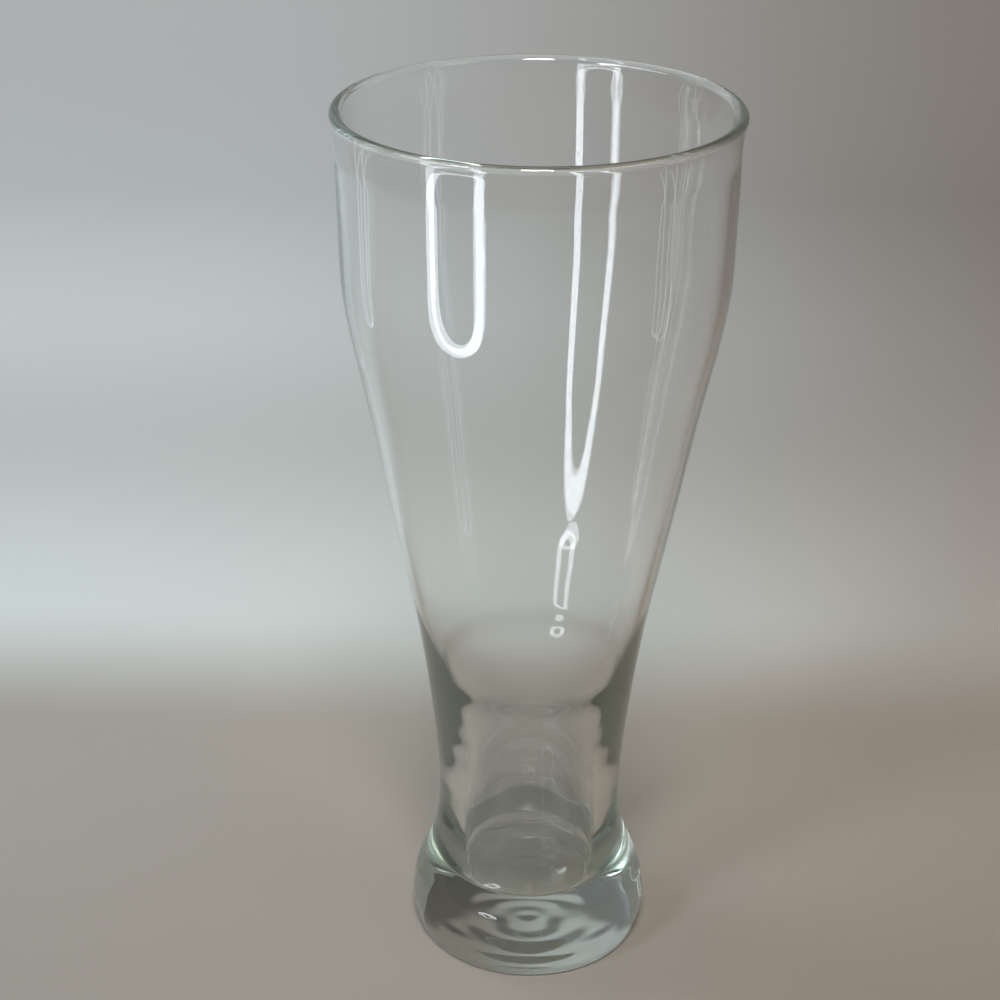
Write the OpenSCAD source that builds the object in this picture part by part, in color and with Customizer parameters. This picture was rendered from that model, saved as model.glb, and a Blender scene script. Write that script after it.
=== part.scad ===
// Tall pilsner glass, pressed and blown in one piece of clear soda-lime glass.
// It stands on a thick solid foot, narrows to a waist above it, and opens in a long
// taper to a nearly straight bowl with a rolled, fire-polished rim.
// The glass is one continuous body. The modules below are its zones from the rim down,
// and they meet face to face on level planes.
// Every zone is cut from the same two curves, the outside and the inside.

/* [Rim] */
// Outside radius of the rolled rim at its widest
rim_r = 47.6; // [44:0.1:54]
// Thickness of the rolled rim
bead_d = 2.7; // [2.2:0.1:3.6]
// How far the rolled rim stands out from the wall below it
bead_step = 1; // [0.4:0.1:1.2]

/* [Bowl] */
// Height of the nearly straight bowl, rim included
bowl_h = 42; // [30:1:60]
// Outside radius at the shoulder, where the bowl starts to draw in
shoulder_r = 45.75; // [42:0.25:52]
// Wall thickness at the shoulder
shoulder_wall = 2.05; // [1.6:0.05:3]

/* [Taper] */
// Height of the taper between the waist and the shoulder
taper_h = 110; // [80:1:140]
// Outside radius at the throat, where the taper starts
throat_r = 25.7; // [24.5:0.1:30]
// Wall thickness at the throat
throat_wall = 4.5; // [3.6:0.1:5.6]

/* [Waist] */
// Height of the waist between the foot and the throat
waist_h = 37.5; // [30:0.5:50]
// Height of the narrowest place above the foot
narrow_h = 8.5; // [6:0.5:14]
// Outside radius at the narrowest place
waist_r = 23.4; // [22.4:0.1:24.4]
// Wall thickness at the narrowest place, the thickest of the wall
waist_wall = 6.1; // [5:0.1:7]

/* [Foot] */
// Height of the foot, up to the crease under the waist
foot_h = 32.5; // [28:0.5:40]
// Outside radius at the crease
crease_r = 24.1; // [23.5:0.1:26]
// Largest radius of the foot
foot_r = 30.6; // [28.5:0.1:34]
// Height of the widest place of the foot
belly_z = 9.5; // [8:0.5:12]
// Radius of the round at the bottom edge
heel_round = 1.9; // [1:0.1:2.6]
// How far the bottom edge stands in from the widest place
heel_in = 1.6; // [1:0.1:2.4]
// Width of the flat ring that the glass stands on
land_w = 2.6; // [2:0.1:4]
// Depth of the hollow under the foot
punt_depth = 1.6; // [1:0.1:2.4]

/* [Well] */
// Thickness of the solid glass under the drink
floor_z = 17.8; // [16:0.1:20]
// Inside radius of the well just above its floor
well_r = 18.2; // [17.6:0.1:19]
// Radius of the round between the floor and the wall
floor_round = 1.5; // [1:0.1:3]

/* [Hidden] */

// Facets around the axis
$fn = 96;
// Longest step between points along the tall curves
curve_step = 2.4;
// Points along each small round
round_steps = 12;
// Points from the middle of the hollow under the foot to the ring
punt_steps = 20;
// Where the heel's round ends, in degrees below level
heel_turn = 22;
// Tint of clear soda-lime glass
tint = [0.80, 0.87, 0.84, 0.45];
// The same tint where the glass is thick
deep_tint = [0.62, 0.71, 0.67, 0.6];

// Foot from its belly to the crease: shares of the height and of the narrowing
foot_shares = [[0.11, 0.04], [0.2, 0.09], [0.325, 0.19], [0.485, 0.42], [0.65, 0.68], [0.78, 0.83],
    [0.89, 0.935]];
// Foot from the heel to the belly: shares of the height and of the widening
heel_shares = [[0.5, 0.72]];
// Waist from the crease to its narrowest place: shares of the height and of the narrowing
crease_shares = [[0.36, 0.48]];
// Inside at the height of the crease, as a share of the narrowing from the well to the waist
well_share = 0.87;
// Waist from its narrowest place to the throat: shares of the height, of the widening outside and inside
waist_shares = [[0.3, 0.11, 0.1], [0.6, 0.43, 0.41], [0.8, 0.7, 0.69]];
// Taper: shares of the height, of the widening and of the thinning of the wall
taper_shares = [[0.05, 0.036, 0.23], [0.1, 0.075, 0.61], [0.2, 0.162, 0.92], [0.3, 0.267, 0.96],
    [0.4, 0.377, 0.967], [0.5, 0.484, 0.973], [0.6, 0.584, 0.98], [0.7, 0.688, 0.985], [0.8, 0.803, 0.99],
    [0.9, 0.918, 0.995]];
// Bowl: shares of the height, of the widening and of the thinning of the wall
bowl_shares = [[0.4, 0.6, 0.4]];
// Height of the rolled rim's zone, as a share of the bead's thickness
rim_zone_share = 1.15;

waist_z = foot_h + narrow_h;
throat_z = foot_h + waist_h;
shoulder_z = throat_z + taper_h;
glass_h = shoulder_z + bowl_h;
bead_r = bead_d / 2;
bead_z = glass_h - bead_r;
mouth_r = rim_r - bead_step;
rim_wall = bead_d - bead_step;
seat_z = glass_h - bead_d * rim_zone_share;
heel_r = foot_r - heel_in;
land_out_r = heel_r - heel_round * cos(heel_turn);
land_in_r = land_out_r - land_w;
heel_top = [heel_round - heel_round * sin(heel_turn), heel_r];
bore_r = waist_r - waist_wall;
throat_in_r = throat_r - throat_wall;

// A number between two others
function between(a, b, share) = a + (b - a) * share;

// Slope of a table of [height, radius] rows at row i
function slope(t, i) =
    let (a = max(i - 1, 0), b = min(i + 1, len(t) - 1))
    (t[b][1] - t[a][1]) / (t[b][0] - t[a][0]);

// Smooth curve through the rows a and b, with slopes ma and mb, at the share u between them
function blend(a, b, ma, mb, u) =
    a[1] * (1 + 2 * u) * (1 - u) * (1 - u) + (b[0] - a[0]) * ma * u * (1 - u) * (1 - u)
    + b[1] * u * u * (3 - 2 * u) + (b[0] - a[0]) * mb * u * u * (u - 1);

// Points [radius, height] of the smooth curve through a table, closed at its last row
function curve(t) = concat(
    [for (i = [0 : len(t) - 2])
        let (n = max(2, ceil((t[i + 1][0] - t[i][0]) / curve_step)), ma = slope(t, i), mb = slope(t, i + 1))
        for (k = [0 : n - 1])
            [blend(t[i], t[i + 1], ma, mb, k / n), between(t[i][0], t[i + 1][0], k / n)]],
    [[t[len(t) - 1][1], t[len(t) - 1][0]]]);

// Points of an arc around [x, z] from angle a to angle b
function arc(x, z, r, a, b) =
    [for (k = [0 : round_steps])
        [x + r * cos(between(a, b, k / round_steps)), z + r * sin(between(a, b, k / round_steps))]];

// Points of a curve from height low to height high
function span(points, low, high) = [for (p = points) if (p[1] >= low && p[1] <= high) p];

// The same points without the first one, which the piece before ends on
function rest(points) = [for (i = [1 : len(points) - 1]) points[i]];

function reversed(points) = [for (i = [len(points) - 1 : -1 : 0]) points[i]];

// Rows [height, outside radius, inside radius] from the waist's narrowest place to the throat
waist_rows = concat(
    [[waist_z, waist_r, bore_r]],
    [for (s = waist_shares)
        [between(waist_z, throat_z, s[0]), between(waist_r, throat_r, s[1]),
            between(bore_r, throat_in_r, s[2])]],
    [[throat_z, throat_r, throat_in_r]]);

// Rows [height, outside radius, wall] from the throat to the wall under the rolled rim
wall_rows = concat(
    [for (s = taper_shares)
        [between(throat_z, shoulder_z, s[0]), between(throat_r, shoulder_r, s[1]),
            between(throat_wall, shoulder_wall, s[2])]],
    [[shoulder_z, shoulder_r, shoulder_wall]],
    [for (s = bowl_shares)
        [between(shoulder_z, seat_z, s[0]), between(shoulder_r, mouth_r, s[1]),
            between(shoulder_wall, rim_wall, s[2])]],
    [[seat_z, mouth_r, rim_wall]]);

outside = curve(concat(
    [heel_top],
    [for (s = heel_shares) [between(heel_top[0], belly_z, s[0]), between(heel_r, foot_r, s[1])]],
    [[belly_z, foot_r]],
    [for (s = foot_shares) [between(belly_z, foot_h, s[0]), between(foot_r, crease_r, s[1])]],
    [[foot_h, crease_r]],
    [for (s = crease_shares) [between(foot_h, waist_z, s[0]), between(crease_r, waist_r, s[1])]],
    [for (w = waist_rows) [w[0], w[1]]],
    [for (w = wall_rows) [w[0], w[1]]]));

inside = curve(concat(
    [[floor_z + floor_round, well_r], [foot_h, between(well_r, bore_r, well_share)]],
    [for (w = waist_rows) [w[0], w[2]]],
    [for (w = wall_rows) [w[0], w[1] - w[2]]]));

// Hollow under the foot, from its middle to the ring: it leaves the ring level and deepens in one sweep
hollow = [for (k = [0 : punt_steps - 1])
    let (share = k / punt_steps)
    [land_in_r * share, punt_depth * pow(1 - share * share, 2)]];

// One zone of the wall, between two level planes
module wall_zone(low, high) {
    rotate_extrude()
        polygon(concat(span(outside, low, high), reversed(span(inside, low, high))));
}

// Rolled rim, a round bead on the top of the wall
module rim_bead() {
    color(tint)
        rotate_extrude()
            union() {
                translate([rim_r - bead_r, bead_z])
                    circle(r = bead_r);
                translate([rim_r - bead_d, seat_z])
                    square([rim_wall, bead_z - seat_z]);
            }
}

module bowl() {
    color(tint)
        wall_zone(shoulder_z, seat_z);
}

module taper() {
    color(tint)
        wall_zone(throat_z, shoulder_z);
}

module waist() {
    color(deep_tint)
        wall_zone(foot_h, throat_z);
}

// Solid foot with the bottom of the well in it and a shallow hollow under it
module foot() {
    color(deep_tint)
        rotate_extrude()
            polygon(concat(
                hollow,
                [[land_in_r, 0]],
                arc(land_out_r, heel_round, heel_round, -90, -heel_turn),
                rest(span(outside, heel_top[0], foot_h)),
                reversed(span(inside, floor_z + floor_round, foot_h)),
                rest(arc(well_r - floor_round, floor_z + floor_round, floor_round, 0, -90)),
                [[0, floor_z]]));
}

rim_bead();
bowl();
taper();
waist();
foot();
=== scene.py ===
"""Studio scene of a tall pilsner glass: one continuous body of clear soda-lime glass on a pale sweep.

The glass is turned here from the same two curves as the CAD part, as one closed skin without seams
between the zones, with what pressing, blowing and fire polishing leave on real glass. The glass's own
sizes are in millimetres, and all else is in metres.
"""

import bpy
import math
from mathutils import Matrix, Vector


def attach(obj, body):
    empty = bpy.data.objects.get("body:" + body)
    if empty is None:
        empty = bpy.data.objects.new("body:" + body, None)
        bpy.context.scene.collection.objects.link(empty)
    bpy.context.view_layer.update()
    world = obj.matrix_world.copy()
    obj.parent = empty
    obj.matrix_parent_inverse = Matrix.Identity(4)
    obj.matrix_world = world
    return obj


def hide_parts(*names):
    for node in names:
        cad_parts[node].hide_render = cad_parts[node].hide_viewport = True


MM = 0.001

# ---------------------------------------------------------------- camera
# Solved from the silhouette, the rim and the foot in the photo
FRAME_PX, FOCAL_PX = 1000.0, 2200.0
SENSOR_MM = 36.0
NEAREST_SEEN = 0.02
PITCH, ROLL, YAW = 0.44978, 0.00665, -0.01676
EYE = Vector((0.0, -0.487139, 0.358005))


def make_camera():
    ahead = Vector((math.sin(YAW) * math.cos(PITCH), math.cos(YAW) * math.cos(PITCH), -math.sin(PITCH)))
    right = ahead.cross(Vector((0, 0, 1))).normalized()
    up = right.cross(ahead)
    side = math.cos(ROLL) * right + math.sin(ROLL) * up
    top = -math.sin(ROLL) * right + math.cos(ROLL) * up
    data = bpy.data.cameras.new("camera")
    data.sensor_width = SENSOR_MM
    data.lens = FOCAL_PX / FRAME_PX * SENSOR_MM
    data.clip_start = NEAREST_SEEN
    camera = bpy.data.objects.new("camera", data)
    camera.matrix_world = Matrix((
        (side.x, top.x, -ahead.x, EYE.x),
        (side.y, top.y, -ahead.y, EYE.y),
        (side.z, top.z, -ahead.z, EYE.z),
        (0, 0, 0, 1)))
    bpy.context.scene.collection.objects.link(camera)
    bpy.context.scene.camera = camera


make_camera()
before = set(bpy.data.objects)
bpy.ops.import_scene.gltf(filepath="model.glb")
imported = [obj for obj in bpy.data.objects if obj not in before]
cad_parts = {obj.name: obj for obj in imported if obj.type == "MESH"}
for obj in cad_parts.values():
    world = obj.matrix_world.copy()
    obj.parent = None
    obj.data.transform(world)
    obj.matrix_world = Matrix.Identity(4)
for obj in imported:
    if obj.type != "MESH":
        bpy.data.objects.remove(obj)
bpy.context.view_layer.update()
bpy.context.scene.view_settings.view_transform = "Standard"

# ---------------------------------------------------------------- the two curves of the glass, in mm
GLASS_H, RIM_R, BEAD_D = 222.0, 47.6, 2.7
# The foot, with the angle below level where the heel's round ends
FOOT_R, HEEL_IN, HEEL_ROUND, HEEL_TURN = 30.6, 1.6, 1.9, 22.0
# The flat ring that the glass stands on, and the hollow inside it, which stays this far off the table
LAND_W, PUNT_DEPTH, PUNT_LIFT = 2.6, 1.6, 0.001
# Faint rings that the mould's turning left in the hollow
RING_DEPTH, RING_PITCH, RING_PHASE = 0.03, 4.6, 0.6
# The well
FLOOR_Z, WELL_R, FLOOR_ROUND = 17.8, 18.2, 1.5

# Outside, from the heel to the wall under the rolled rim: [height, radius]
OUTSIDE = [
    [1.19, 29.0], [5.35, 30.15], [9.5, 30.6], [12.03, 30.34], [14.1, 30.02], [16.98, 29.37],
    [20.66, 27.87], [24.45, 26.18], [27.44, 25.21], [29.97, 24.52], [32.5, 24.1], [35.56, 23.76],
    [41, 23.4], [49.7, 23.65], [58.4, 24.39], [64.2, 25.01], [70, 25.7], [75.5, 26.42], [81, 27.2],
    [92, 28.95], [103, 31.05], [114, 33.26], [125, 35.4], [136, 37.41], [147, 39.49], [158, 41.8],
    [169, 44.11], [180, 45.75], [195.6, 46.26], [218.9, 46.6]]
# Inside, from the top of the floor's round to the wall under the rolled rim
INSIDE = [
    [19.3, 18.2], [32.5, 17.42], [41, 17.3], [49.7, 17.69], [58.4, 18.9], [64.2, 19.99], [70, 21.2],
    [75.5, 22.49], [81, 24.2], [92, 26.7], [103, 28.91], [114, 31.13], [125, 33.29], [136, 35.31],
    [147, 37.41], [158, 39.73], [169, 42.04], [180, 43.7], [195.6, 44.35], [218.9, 44.9]]

# From this height up the wall flares into the bead, where the CAD model meets it in a sharp corner
FLARE_Z = 211.5
FLARE = [
    [212.0, 46.52], [214.0, 46.6], [215.5, 46.69], [217.0, 46.83], [218.2, 46.99], [219.1, 47.15],
    [219.55, 47.27]]
# From this height up the inside bulges a little towards the bead, as a fire-polished rim does
BULGE_Z = 208.0
BULGE = [
    [209.0, 44.67], [210.5, 44.7], [212.0, 44.7], [213.5, 44.64], [215.0, 44.55], [216.7, 44.45],
    [218.3, 44.4], [219.5, 44.42], [220.3, 44.52], [220.85, 44.7], [221.2, 44.93]]
# The bead's round between the two, in degrees from level on the outside
BEAD_START, BEAD_END = -38, 140

# Longest step between points along the tall curves
CURVE_STEP = 1.0
# Points along the underside, the heel, the bead, the floor's round and the floor, and round the axis
UNDER_STEPS, HEEL_STEPS, BEAD_STEPS, ROUND_STEPS, FLOOR_STEPS = 64, 12, 28, 14, 10
TURN_STEPS = 224

# What blowing leaves on the inside: slow waves round the wall that drift with height.
# Each is its height, its count round the wall, its drift per mm of height and its start
RIPPLES = [(0.045, 3, 0.021, 0.6), (0.03, 5, -0.034, 2.1), (0.012, 9, 0.05, 4.0)]
# They die out over this distance below a height under the rim, and within it of the middle of the floor
RIPPLE_TOP, RIPPLE_FADE = 212, 12


def slope(rows, i):
    a, b = max(i - 1, 0), min(i + 1, len(rows) - 1)
    return (rows[b][1] - rows[a][1]) / (rows[b][0] - rows[a][0])


def curve(rows):
    """Points (radius, height) of the smooth curve through rows of [height, radius]."""
    points = []
    for i in range(len(rows) - 1):
        (z0, r0), (z1, r1) = rows[i], rows[i + 1]
        n = max(2, math.ceil((z1 - z0) / CURVE_STEP))
        m0, m1, h = slope(rows, i), slope(rows, i + 1), z1 - z0
        for k in range(n):
            u = k / n
            r = (r0 * (1 + 2 * u) * (1 - u) ** 2 + h * m0 * u * (1 - u) ** 2
                 + r1 * u * u * (3 - 2 * u) + h * m1 * u * u * (u - 1))
            points.append((r, z0 + h * u))
    points.append((rows[-1][1], rows[-1][0]))
    return points


def arc(x, z, r, start, end, n):
    """Points of an arc round (x, z), from start to end in degrees."""
    angles = [math.radians(start + (end - start) * k / n) for k in range(n + 1)]
    return [(x + r * math.cos(a), z + r * math.sin(a)) for a in angles]


def underside(ring_r):
    """Points from the middle of the hollow under the foot to the inner edge of the flat ring."""
    points = []
    for k in range(UNDER_STEPS):
        t = k / UNDER_STEPS
        ring = math.cos(2 * math.pi * t * ring_r / RING_PITCH + RING_PHASE)
        height = PUNT_DEPTH * (1 - t * t) ** 2 + RING_DEPTH * (1 - t * t) * ring
        points.append((ring_r * t, max(PUNT_LIFT, height)))
    return points + [(ring_r, 0.0)]


def outer_section():
    """Half the section from the middle of the underside up the outside, over the bead and into the bulge."""
    land_out = FOOT_R - HEEL_IN - HEEL_ROUND * math.cos(math.radians(HEEL_TURN))
    bead_r = BEAD_D / 2
    return (underside(land_out - LAND_W)
            + arc(land_out, HEEL_ROUND, HEEL_ROUND, -90, -HEEL_TURN, HEEL_STEPS)
            + [p for p in curve(OUTSIDE)[1:] if p[1] < FLARE_Z] + curve(FLARE)
            + arc(RIM_R - bead_r, GLASS_H - bead_r, bead_r, BEAD_START, BEAD_END, BEAD_STEPS)
            + curve(BULGE)[::-1])


def inner_section():
    """Half the section from under the bulge down the inside to the middle of the well's floor."""
    floor_r = WELL_R - FLOOR_ROUND
    return ([p for p in curve(INSIDE) if p[1] < BULGE_Z][::-1]
            + arc(floor_r, FLOOR_Z + FLOOR_ROUND, FLOOR_ROUND, 0, -90, ROUND_STEPS)[1:]
            + [(floor_r * (1 - k / FLOOR_STEPS), FLOOR_Z) for k in range(1, FLOOR_STEPS + 1)])


def ripple(angle, z):
    """How far the blown inside stands out at this angle and height."""
    return sum(height * math.sin(count * angle + drift * z + start)
               for height, count, drift, start in RIPPLES)


def glass_mesh():
    """One closed skin, turned in mesh code; the blown inside carries the ripple, the moulded outside none."""
    outer, inner = outer_section(), inner_section()
    points = outer + inner
    vertices, rings, faces = [], [], []
    for i, (r, z) in enumerate(points):
        if i in (0, len(points) - 1):
            rings.append([len(vertices)])
            vertices.append((0, 0, z * MM))
            continue
        fade = min(1.0, max(0.0, (RIPPLE_TOP - z) / RIPPLE_FADE)) * min(1.0, r / RIPPLE_FADE)
        if i < len(outer):
            fade = 0.0
        rings.append(list(range(len(vertices), len(vertices) + TURN_STEPS)))
        for k in range(TURN_STEPS):
            a = 2 * math.pi * k / TURN_STEPS
            q = r + fade * ripple(a, z)
            vertices.append((q * math.cos(a) * MM, q * math.sin(a) * MM, z * MM))
    for low, high in zip(rings, rings[1:]):
        for k in range(TURN_STEPS):
            j = (k + 1) % TURN_STEPS
            if len(low) == 1:
                faces.append((low[0], high[j], high[k]))
            elif len(high) == 1:
                faces.append((low[k], low[j], high[0]))
            else:
                faces.append((low[k], low[j], high[j], high[k]))
    mesh = bpy.data.meshes.new("pilsner_glass_body")
    mesh.from_pydata(vertices, [], faces)
    mesh.validate()
    mesh.polygons.foreach_set("use_smooth", [True] * len(mesh.polygons))
    return mesh


# ---------------------------------------------------------------- making materials
def linear(colour):
    """sRGB hex to linear RGBA."""
    parts = [int(colour[i:i + 2], 16) / 255 for i in (1, 3, 5)]
    return tuple(c / 12.92 if c <= 0.04045 else ((c + 0.055) / 1.055) ** 2.4 for c in parts) + (1.0,)


def add(tree, kind, settings=None, inputs=None, links=None):
    """A node with its settings, its input values, and links {input: (node, output)}."""
    node = tree.nodes.new(kind)
    for name, value in (settings or {}).items():
        setattr(node, name, value)
    for name, value in (inputs or {}).items():
        node.inputs[name].default_value = value
    for name, (source, output) in (links or {}).items():
        tree.links.new(source.outputs[output], node.inputs[name])
    return node


def new_material(name):
    material = bpy.data.materials.new(name)
    material.use_nodes = True
    material.node_tree.nodes.clear()
    return material, material.node_tree


def put_in_scene(name, mesh, material):
    """A new object of this mesh, made of one material."""
    piece = bpy.data.objects.new(name, mesh)
    bpy.context.scene.collection.objects.link(piece)
    mesh.materials.append(material)
    return piece


# ---------------------------------------------------------------- soda-lime glass
SODA_LIME_IOR = 1.52
# The iron in the melt gives a faint grey-green body colour; its strength is per metre of glass
BODY_COLOUR, BODY_DENSITY = "#DDEEE3", 9.0
# Slow waves of the cooled skin, about 22 mm across, longer up the glass, and some 0.01 mm high
WAVES_PER_M, WAVES_UP = 46.0, 0.35
WAVE_STRENGTH, WAVE_HEIGHT = 0.05, 0.0006
# Roughness that use leaves on the standing ring, and the heights from and to which it fades
SCUFF, SCUFF_FROM, SCUFF_TO = 0.34, 0.00002, 0.00035
# Shares of a lamp's light that go straight through the thick glass low down and the thin wall higher up,
# the heights between which one becomes the other, and the colour that the light takes on
THICK_PASSES, THIN_PASSES = 0.17, 0.85
THICK_TOP, THIN_BOTTOM = 0.09, 0.13
PASSED_COLOUR = "#F2F6F3"
# Light that has turned inside the wall more than twice counts as trapped. The share of it that gets out, and
# its colour, a little greener
TRAPPED_FROM, TRAPPED_TO = 2.4, 2.6
RELEASED_SHARE, RELEASED_COLOUR = 0.42, "#C4D0C9"


def soda_lime_glass():
    """Clear soda-lime glass, pressed foot, blown wall, fire-polished: mirror-smooth, with a faint grey-green
    body colour where it is thick, slow waves in the skin, and the standing ring dulled by wear."""
    material, tree = new_material("soda_lime_glass_clear")
    place = add(tree, "ShaderNodeTexCoord")
    where = add(tree, "ShaderNodeSeparateXYZ", links={"Vector": (place, "Object")})
    stretched = add(tree, "ShaderNodeMapping", inputs={"Scale": (1.0, 1.0, WAVES_UP)},
                    links={"Vector": (place, "Object")})
    waves = add(tree, "ShaderNodeTexNoise", inputs={"Scale": WAVES_PER_M, "Detail": 1.0, "Roughness": 0.4},
                links={"Vector": (stretched, "Vector")})
    skin = add(tree, "ShaderNodeBump", inputs={"Strength": WAVE_STRENGTH, "Distance": WAVE_HEIGHT},
               links={"Height": (waves, 0)})
    scuff = add(tree, "ShaderNodeMapRange", settings={"interpolation_type": "SMOOTHSTEP"},
                inputs={"From Min": SCUFF_FROM, "From Max": SCUFF_TO, "To Min": SCUFF, "To Max": 0.0},
                links={"Value": (where, "Z")})
    polished = add(tree, "ShaderNodeBsdfPrincipled",
                   inputs={"Base Color": linear("#FFFFFF"), "IOR": SODA_LIME_IOR, "Transmission Weight": 1.0},
                   links={"Normal": (skin, "Normal"), "Roughness": (scuff, "Result")})
    body = add(tree, "ShaderNodeVolumeAbsorption",
               inputs={"Color": linear(BODY_COLOUR), "Density": BODY_DENSITY})

    # A renderer follows light for only a few turns inside a wall and then drops it, which would leave the
    # sides of the waist black. Here a share of it gets out straight on
    path = add(tree, "ShaderNodeLightPath")
    trapped = add(tree, "ShaderNodeMapRange",
                  inputs={"From Min": TRAPPED_FROM, "From Max": TRAPPED_TO, "To Max": RELEASED_SHARE},
                  links={"Value": (path, "Glossy Depth")})
    released = add(tree, "ShaderNodeBsdfTransparent", inputs={"Color": linear(RELEASED_COLOUR)})
    seen = add(tree, "ShaderNodeMixShader", links={0: (trapped, 0), 1: (polished, 0), 2: (released, 0)})

    # The thin wall lets most of the light straight through to the table; the thick waist and foot bend it
    # aside and cast a nearly full shadow
    thinness = add(tree, "ShaderNodeMapRange",
                   inputs={"From Min": THICK_TOP, "From Max": THIN_BOTTOM,
                           "To Min": THICK_PASSES, "To Max": THIN_PASSES},
                   links={"Value": (where, "Z")})
    passes = add(tree, "ShaderNodeMath", settings={"operation": "MULTIPLY"},
                 links={0: (path, "Is Shadow Ray"), 1: (thinness, "Result")})
    passed = add(tree, "ShaderNodeBsdfTransparent", inputs={"Color": linear(PASSED_COLOUR)})
    surface = add(tree, "ShaderNodeMixShader", links={0: (passes, 0), 1: (seen, 0), 2: (passed, 0)})
    add(tree, "ShaderNodeOutputMaterial", links={"Surface": (surface, 0), "Volume": (body, 0)})
    return material


# ---------------------------------------------------------------- background paper
# Colours by depth, on the left and on the right, with painted light and shade: darker near the glass, and
# lighter and cooler behind it on the left than on the right
PAPER_NEAR, PAPER_FAR = -0.1, 1.0
LEFT_PAINTED_LIGHT = [
    (-0.05, "#8F8D88"), (0.09, "#9B9994"), (0.17, "#C7D1D3"), (0.3, "#BAC3C4"), (0.45, "#CAD3D5"),
    (0.8, "#B9BDBF")]
RIGHT_PAINTED_LIGHT = [(-0.05, "#897D73"), (0.09, "#8B7F74"), (0.17, "#968D85"), (0.4, "#8F8883"), (0.8, "#938E89")]
# Where the left colours end and the right ones start
LEFT_END, RIGHT_START = -0.18, 0.3
# Heights between which painted shade darkens the paper towards its top, and the share of its colour that is
# left above them
TOP_SHADE_FROM, TOP_SHADE_TO, TOP_SHADE_SHARE = 0.66, 0.78, 0.4
PAPER_ROUGHNESS, PAPER_SPECULAR = 0.92, 0.08


def fade(tree, depth, stops):
    """The colours of stops (depth, colour), blended along the depth."""
    ramp = add(tree, "ShaderNodeValToRGB", links={"Fac": (depth, "Result")})
    ramp.color_ramp.interpolation = "EASE"
    while len(ramp.color_ramp.elements) < len(stops):
        ramp.color_ramp.elements.new(0.5)
    for element, (y, colour) in zip(ramp.color_ramp.elements, stops):
        element.position = (y - PAPER_NEAR) / (PAPER_FAR - PAPER_NEAR)
        element.color = linear(colour)
    return ramp


def pale_paper():
    """Matt background paper with light and shade painted into its colour: darker and warm grey near the glass
    and on the right, lighter and cooler behind it on the left as if lit from there, and painted shade darker
    towards its top."""
    material, tree = new_material("matt_background_paper")
    place = add(tree, "ShaderNodeTexCoord")
    where = add(tree, "ShaderNodeSeparateXYZ", links={"Vector": (place, "Object")})
    depth = add(tree, "ShaderNodeMapRange", inputs={"From Min": PAPER_NEAR, "From Max": PAPER_FAR},
                links={"Value": (where, "Y")})
    # Painted light and shade: the paper is darker near the glass, and lighter and cooler behind it on the
    # left
    left, right = fade(tree, depth, LEFT_PAINTED_LIGHT), fade(tree, depth, RIGHT_PAINTED_LIGHT)
    across = add(tree, "ShaderNodeMapRange", settings={"interpolation_type": "SMOOTHSTEP"},
                 inputs={"From Min": LEFT_END, "From Max": RIGHT_START}, links={"Value": (where, "X")})
    # A colour mix has its two colours at inputs 6 and 7, and its result at output 2
    both = add(tree, "ShaderNodeMix", settings={"data_type": "RGBA"}, links={"Factor": (across, "Result")})
    tree.links.new(left.outputs["Color"], both.inputs[6])
    tree.links.new(right.outputs["Color"], both.inputs[7])
    # Painted shade: the paper's colour darkens towards its top
    top_shade = add(tree, "ShaderNodeMapRange", settings={"interpolation_type": "SMOOTHSTEP"},
                  inputs={"From Min": TOP_SHADE_FROM, "From Max": TOP_SHADE_TO, "To Min": 1.0, "To Max": TOP_SHADE_SHARE},
                  links={"Value": (where, "Z")})
    top_shaded_colour = add(tree, "ShaderNodeVectorMath", settings={"operation": "SCALE"},
                 links={"Scale": (top_shade, "Result")})
    tree.links.new(both.outputs[2], top_shaded_colour.inputs[0])
    matt = add(tree, "ShaderNodeBsdfPrincipled",
               inputs={"Roughness": PAPER_ROUGHNESS, "Specular IOR Level": PAPER_SPECULAR},
               links={"Base Color": (top_shaded_colour, 0)})
    add(tree, "ShaderNodeOutputMaterial", links={"Surface": (matt, 0)})
    return material


# ---------------------------------------------------------------- the glass
glass = put_in_scene("pilsner_glass_body", glass_mesh(), soda_lime_glass())
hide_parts("rim_bead", "bowl", "taper", "waist", "foot")
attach(glass, "root")

# ---------------------------------------------------------------- the stage
SWEEP_HALF, SWEEP_FRONT, SWEEP_TOP = 1.3, -1.3, 1.5
# Where the floor starts to curve up, and the radius and step in degrees of that bend
BEND_EDGE, BEND_R, BEND_STEP = 0.62, 0.34, 6
# The paper lies this far under the glass, so that their faces never meet
PAPER_GAP = 0.00006


def make_sweep():
    """Floor that curves up into a backdrop."""
    rows = [(SWEEP_FRONT, 0.0), (BEND_EDGE, 0.0)]
    for turn in range(BEND_STEP, 91, BEND_STEP):
        a = math.radians(turn)
        rows.append((BEND_EDGE + BEND_R * math.sin(a), BEND_R - BEND_R * math.cos(a)))
    rows.append((BEND_EDGE + BEND_R, SWEEP_TOP))
    vertices = [(x, y, z - PAPER_GAP) for y, z in rows for x in (-SWEEP_HALF, SWEEP_HALF)]
    faces = [(2 * i, 2 * i + 1, 2 * i + 3, 2 * i + 2) for i in range(len(rows) - 1)]
    mesh = bpy.data.meshes.new("sweep")
    mesh.from_pydata(vertices, [], faces)
    mesh.polygons.foreach_set("use_smooth", [True] * len(faces))
    put_in_scene("sweep", mesh, pale_paper())


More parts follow.
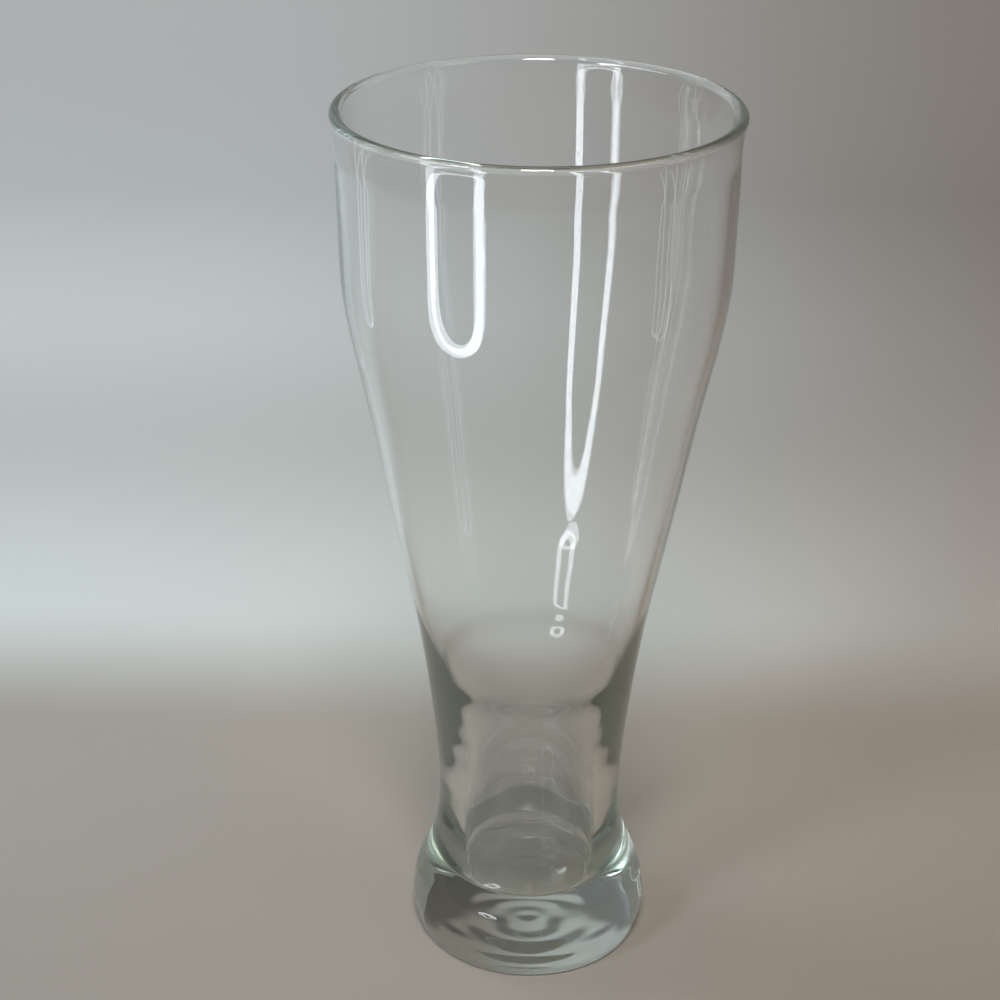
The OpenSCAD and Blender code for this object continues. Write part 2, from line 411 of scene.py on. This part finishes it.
def lamp(name, place, target, size, watts, colour, unseen=False):
    """A soft rectangular lamp; an unseen one lights the paper and doesn't show in the glass."""
    data = bpy.data.lights.new(name, "AREA")
    data.shape = "RECTANGLE"
    data.size, data.size_y = size
    data.energy = watts
    data.color = linear(colour)[:3]
    lamp_object = bpy.data.objects.new(name, data)
    lamp_object.location = place
    lamp_object.rotation_euler = (Vector(target) - Vector(place)).to_track_quat("-Z", "Y").to_euler()
    bpy.context.scene.collection.objects.link(lamp_object)
    lamp_object.visible_camera = False
    if unseen:
        lamp_object.visible_glossy = lamp_object.visible_transmission = False


# ---------------------------------------------------------------- windows that show in the glass
FRAME_COLOUR, PANE_COLOUR = "#F2F8FF", "#E4EDF5"
# The pane stands this far behind its frame
PANE_BACK = 0.004
# In an oval window, the pane's share of the width, and how far it stands in as a share of the height
OVAL_PANE, OVAL_INSET = 0.45, 0.27
OVAL_STEPS, END_STEPS = 32, 16


def glowing(name, colour, strength):
    """What a window pane, or the frame of light round it, sends out."""
    material, tree = new_material(name)
    shader = add(tree, "ShaderNodeEmission", inputs={"Color": linear(colour), "Strength": strength})
    add(tree, "ShaderNodeOutputMaterial", links={"Surface": (shader, 0)})
    return material


def oval(half, low, high):
    """Outline (across, height) of a flat oval."""
    middle, tall = (low + high) / 2, (high - low) / 2
    angles = [2 * math.pi * k / OVAL_STEPS for k in range(OVAL_STEPS)]
    return [(-half * math.cos(a), middle - tall * math.sin(a)) for a in angles]


def stadium(half, low, high):
    """Outline (across, height) of a tall opening with two rounded ends."""
    angles = [math.pi * k / END_STEPS for k in range(END_STEPS + 1)]
    lower = [(-half * math.cos(a), low + half - half * math.sin(a)) for a in angles]
    upper = [(half * math.cos(a), high - half + half * math.sin(a)) for a in angles]
    return lower + upper


def window(name, azimuth, distance, width, low, high, glow, bar=0.0, pane=0.0):
    """A bright frame round a dimmer pane or an opening, facing the glass: its outline is what the glass shows
    as long thin lights. It lights nothing matt. The azimuth is seen from the glass, 0 at the camera and + to
    the right. A window wider than it is high is an oval, and another has a frame as wide as its bar."""
    a = math.radians(azimuth)
    across = Vector((math.cos(a), math.sin(a), 0))
    half, tall = width / 2, high - low

    def sheet(part, outline, faces, colour, strength, back):
        away = distance + back
        spots = [Vector((math.sin(a) * away, -math.cos(a) * away, z)) + across * u for u, z in outline]
        mesh = bpy.data.meshes.new(f"{name}_{part}")
        mesh.from_pydata(spots, [], faces)
        light = put_in_scene(f"{name}_{part}", mesh, glowing(f"{name}_{part}_light", colour, strength))
        light.visible_camera = light.visible_diffuse = light.visible_shadow = False

    if tall < width:
        outer = oval(half, low, high)
        inner = oval(half * OVAL_PANE, low + tall * OVAL_INSET, high - tall * OVAL_INSET)
    else:
        outer, inner = stadium(half, low, high), stadium(half - bar, low + bar, high - bar)
    n = len(outer)
    band = [(k, (k + 1) % n, n + (k + 1) % n, n + k) for k in range(n)]
    sheet("frame", outer + inner, band, FRAME_COLOUR, glow, 0)
    if pane:
        sheet("pane", inner, [tuple(range(n))], PANE_COLOUR, pane, PANE_BACK)


# ---------------------------------------------------------------- light
ROOM_COLOUR = "#747673"

make_sweep()
world = bpy.data.worlds.new("room")
world.use_nodes = True
world.node_tree.nodes["Background"].inputs["Color"].default_value = linear(ROOM_COLOUR)
world.node_tree.nodes["Background"].inputs["Strength"].default_value = 1.0
bpy.context.scene.world = world

lamp("key", place=(-0.95, -0.9, 1.15), target=(0, 0.02, 0.03), size=(0.3, 0.4), watts=8.2, colour="#F3F8FF")
lamp("overhead", place=(0.0, -0.72, 1.3), target=(0, 0.03, 0.0), size=(0.3, 0.3), watts=15, colour="#FFF8F0")
lamp("sky", place=(-1.5, 0.7, 1.3), target=(0, 0.1, 0.05), size=(1.0, 0.8), watts=11, colour="#EEF5FF",
     unseen=True)
lamp("fill", place=(1.35, -0.75, 1.7), target=(0, 0.05, 0.1), size=(0.8, 0.8), watts=4, colour="#FFF0E2")

window("window", azimuth=-41, distance=0.17, width=0.092, low=0.088, high=0.3, glow=8.0, bar=0.015, pane=0.3)
window("low_window", azimuth=-37, distance=0.46, width=0.15, low=0.018, high=0.056, glow=9.0)
window("high_window", azimuth=-72, distance=1.2, width=0.8, low=0.85, high=1.2, glow=9.0, pane=9.0)
for side, azimuth in (("left", -108), ("right", 72)):
    window(f"side_window_{side}", azimuth, distance=0.25, width=0.034, low=0.06, high=0.3, glow=2.2,
           bar=0.004)
